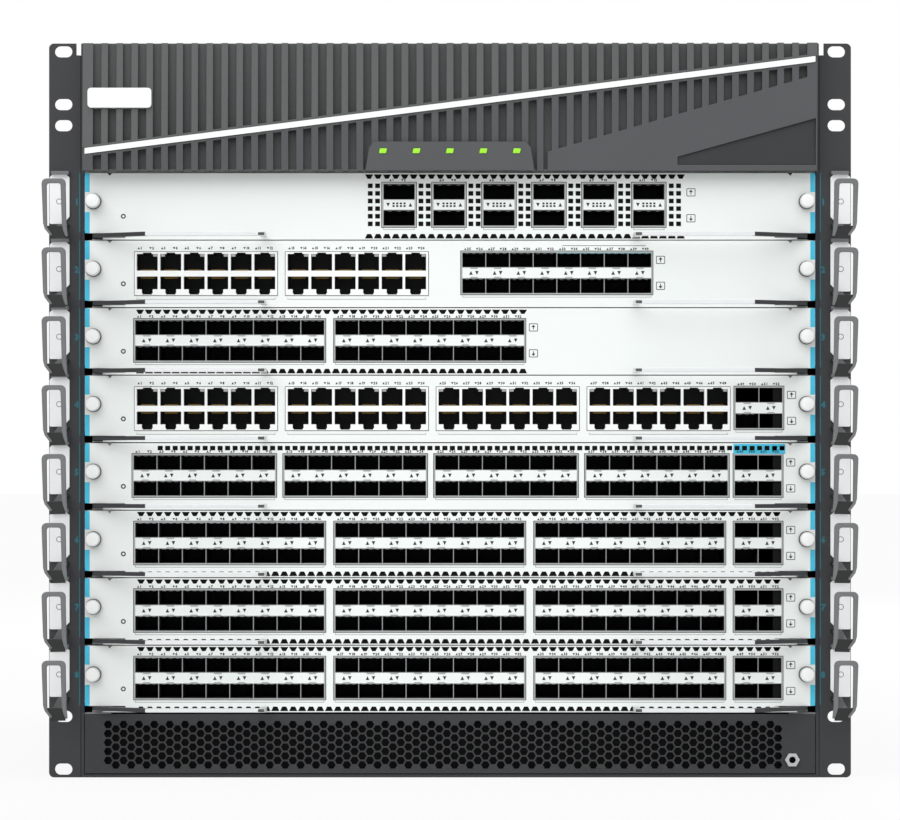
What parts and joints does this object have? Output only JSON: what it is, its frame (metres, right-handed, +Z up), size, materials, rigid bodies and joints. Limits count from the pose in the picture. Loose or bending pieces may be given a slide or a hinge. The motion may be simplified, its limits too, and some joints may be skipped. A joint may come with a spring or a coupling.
{
  "type": "modular chassis switch",
  "caption": "Rack-mounted modular network switch: ribbed bezel, horizontal port cards with ejector levers, cable guides, intake grille, fan trays and power supplies.",
  "frame": {"origin": "under the middle of the whole part, on the surface it stands on", "axes": "+X across the front to the right seen from the front, +Y from the front to the back, +Z up"},
  "size_m": [0.4826, 0.777, 0.4417],
  "materials": {
    "dark_paint": "satin",
    "panel_paint": "satin",
    "cage_steel": "satin",
    "plated_steel": "satin",
    "lever_steel": "satin",
    "screw_caps": "matte",
    "guide_plastic": "matte",
    "bezel_plastic": "satin",
    "light_plastic": "gloss",
    "lamp_lens": "gloss",
    "bright_nut": "polished",
    "circuit_board": "satin",
    "fan_plastic": "matte"
  },
  "bodies": {
    "chassis": {"chassis_shell": "dark_paint", "top_cover": "dark_paint", "slot_rails": "plated_steel", "inner_shelves": "plated_steel", "rack_ear_left": "dark_paint", "rack_ear_right": "dark_paint", "cable_guides": "guide_plastic", "top_bezel": "bezel_plastic", "accent_bar": "light_plastic", "status_lights": "lamp_lens", "intake_grille": "dark_paint", "esd_jack": "bright_nut", "backplane": "circuit_board"},
    "card_1": {"card_1_panel": "panel_paint", "card_1_board": "cage_steel", "card_1_screws": "screw_caps"},
    "lever_1_left": {"lever_1_left": "lever_steel"},
    "lever_1_right": {"lever_1_right": "lever_steel"},
    "card_2": {"card_2_panel": "panel_paint", "card_2_board": "cage_steel", "card_2_screws": "screw_caps"},
    "lever_2_left": {"lever_2_left": "lever_steel"},
    "lever_2_right": {"lever_2_right": "lever_steel"},
    "card_3": {"card_3_panel": "panel_paint", "card_3_board": "cage_steel", "card_3_screws": "screw_caps"},
    "lever_3_left": {"lever_3_left": "lever_steel"},
    "lever_3_right": {"lever_3_right": "lever_steel"},
    "card_4": {"card_4_panel": "panel_paint", "card_4_board": "cage_steel", "card_4_screws": "screw_caps"},
    "lever_4_left": {"lever_4_left": "lever_steel"},
    "lever_4_right": {"lever_4_right": "lever_steel"},
    "card_5": {"card_5_panel": "panel_paint", "card_5_board": "cage_steel", "card_5_screws": "screw_caps"},
    "lever_5_left": {"lever_5_left": "lever_steel"},
    "lever_5_right": {"lever_5_right": "lever_steel"},
    "card_6": {"card_6_panel": "panel_paint", "card_6_board": "cage_steel", "card_6_screws": "screw_caps"},
    "lever_6_left": {"lever_6_left": "lever_steel"},
    "lever_6_right": {"lever_6_right": "lever_steel"},
    "card_7": {"card_7_panel": "panel_paint", "card_7_board": "cage_steel", "card_7_screws": "screw_caps"},
    "lever_7_left": {"lever_7_left": "lever_steel"},
    "lever_7_right": {"lever_7_right": "lever_steel"},
    "card_8": {"card_8_panel": "panel_paint", "card_8_board": "cage_steel", "card_8_screws": "screw_caps"},
    "lever_8_left": {"lever_8_left": "lever_steel"},
    "lever_8_right": {"lever_8_right": "lever_steel"},
    "power_supply_left": {"power_supply_left": "plated_steel"},
    "fan_tray_left": {"fan_tray_left": "plated_steel"},
    "fan_rotor_left": {"fan_rotor_left": "fan_plastic"},
    "power_supply_right": {"power_supply_right": "plated_steel"},
    "fan_tray_right": {"fan_tray_right": "plated_steel"},
    "fan_rotor_right": {"fan_rotor_right": "fan_plastic"},
    "management_module": {"management_module": "plated_steel"}
  },
  "joints": [
    {"name": "card_1_slide", "type": "slide", "parent": "chassis", "child": "card_1", "axis": [0, -1, 0], "range_m": [0, 0.4]},
    {"name": "lever_1_left_swing", "type": "hinge", "parent": "card_1", "child": "lever_1_left", "pos_m": [-0.21, -0.3285, 0.32602], "axis": [0, 0, -1], "range_deg": [0, 50]},
    {"name": "lever_1_right_swing", "type": "hinge", "parent": "card_1", "child": "lever_1_right", "pos_m": [0.21, -0.3285, 0.32602], "axis": [0, 0, 1], "range_deg": [0, 50]},
    {"name": "card_2_slide", "type": "slide", "parent": "chassis", "child": "card_2", "axis": [0, -1, 0], "range_m": [0, 0.4]},
    {"name": "lever_2_left_swing", "type": "hinge", "parent": "card_2", "child": "lever_2_left", "pos_m": [-0.21, -0.3285, 0.28538], "axis": [0, 0, -1], "range_deg": [0, 50]},
    {"name": "lever_2_right_swing", "type": "hinge", "parent": "card_2", "child": "lever_2_right", "pos_m": [0.21, -0.3285, 0.28538], "axis": [0, 0, 1], "range_deg": [0, 50]},
    {"name": "card_3_slide", "type": "slide", "parent": "chassis", "child": "card_3", "axis": [0, -1, 0], "range_m": [0, 0.4]},
    {"name": "lever_3_left_swing", "type": "hinge", "parent": "card_3", "child": "lever_3_left", "pos_m": [-0.21, -0.3285, 0.24474], "axis": [0, 0, -1], "range_deg": [0, 50]},
    {"name": "lever_3_right_swing", "type": "hinge", "parent": "card_3", "child": "lever_3_right", "pos_m": [0.21, -0.3285, 0.24474], "axis": [0, 0, 1], "range_deg": [0, 50]},
    {"name": "card_4_slide", "type": "slide", "parent": "chassis", "child": "card_4", "axis": [0, -1, 0], "range_m": [0, 0.4]},
    {"name": "lever_4_left_swing", "type": "hinge", "parent": "card_4", "child": "lever_4_left", "pos_m": [-0.21, -0.3285, 0.2041], "axis": [0, 0, -1], "range_deg": [0, 50]},
    {"name": "lever_4_right_swing", "type": "hinge", "parent": "card_4", "child": "lever_4_right", "pos_m": [0.21, -0.3285, 0.2041], "axis": [0, 0, 1], "range_deg": [0, 50]},
    {"name": "card_5_slide", "type": "slide", "parent": "chassis", "child": "card_5", "axis": [0, -1, 0], "range_m": [0, 0.4]},
    {"name": "lever_5_left_swing", "type": "hinge", "parent": "card_5", "child": "lever_5_left", "pos_m": [-0.21, -0.3285, 0.16346], "axis": [0, 0, -1], "range_deg": [0, 50]},
    {"name": "lever_5_right_swing", "type": "hinge", "parent": "card_5", "child": "lever_5_right", "pos_m": [0.21, -0.3285, 0.16346], "axis": [0, 0, 1], "range_deg": [0, 50]},
    {"name": "card_6_slide", "type": "slide", "parent": "chassis", "child": "card_6", "axis": [0, -1, 0], "range_m": [0, 0.4]},
    {"name": "lever_6_left_swing", "type": "hinge", "parent": "card_6", "child": "lever_6_left", "pos_m": [-0.21, -0.3285, 0.12282], "axis": [0, 0, -1], "range_deg": [0, 50]},
    {"name": "lever_6_right_swing", "type": "hinge", "parent": "card_6", "child": "lever_6_right", "pos_m": [0.21, -0.3285, 0.12282], "axis": [0, 0, 1], "range_deg": [0, 50]},
    {"name": "card_7_slide", "type": "slide", "parent": "chassis", "child": "card_7", "axis": [0, -1, 0], "range_m": [0, 0.4]},
    {"name": "lever_7_left_swing", "type": "hinge", "parent": "card_7", "child": "lever_7_left", "pos_m": [-0.21, -0.3285, 0.08218], "axis": [0, 0, -1], "range_deg": [0, 50]},
    {"name": "lever_7_right_swing", "type": "hinge", "parent": "card_7", "child": "lever_7_right", "pos_m": [0.21, -0.3285, 0.08218], "axis": [0, 0, 1], "range_deg": [0, 50]},
    {"name": "card_8_slide", "type": "slide", "parent": "chassis", "child": "card_8", "axis": [0, -1, 0], "range_m": [0, 0.4]},
    {"name": "lever_8_left_swing", "type": "hinge", "parent": "card_8", "child": "lever_8_left", "pos_m": [-0.21, -0.3285, 0.04154], "axis": [0, 0, -1], "range_deg": [0, 50]},
    {"name": "lever_8_right_swing", "type": "hinge", "parent": "card_8", "child": "lever_8_right", "pos_m": [0.21, -0.3285, 0.04154], "axis": [0, 0, 1], "range_deg": [0, 50]},
    {"name": "power_supply_left_slide", "type": "slide", "parent": "chassis", "child": "power_supply_left", "axis": [0, 1, 0], "range_m": [0, 0.3]},
    {"name": "fan_tray_left_slide", "type": "slide", "parent": "chassis", "child": "fan_tray_left", "axis": [0, 1, 0], "range_m": [0, 0.1]},
    {"name": "fan_rotor_left_spin", "type": "hinge", "parent": "fan_tray_left", "child": "fan_rotor_left", "pos_m": [-0.10995, 0.3335, 0.2158], "axis": [0, 1, 0], "continuous": true},
    {"name": "power_supply_right_slide", "type": "slide", "parent": "chassis", "child": "power_supply_right", "axis": [0, 1, 0], "range_m": [0, 0.3]},
    {"name": "fan_tray_right_slide", "type": "slide", "parent": "chassis", "child": "fan_tray_right", "axis": [0, 1, 0], "range_m": [0, 0.1]},
    {"name": "fan_rotor_right_spin", "type": "hinge", "parent": "fan_tray_right", "child": "fan_rotor_right", "pos_m": [0.10995, 0.3335, 0.2158], "axis": [0, 1, 0], "continuous": true},
    {"name": "management_module_slide", "type": "slide", "parent": "chassis", "child": "management_module", "axis": [0, 1, 0], "range_m": [0, 0.3]}
  ]
}
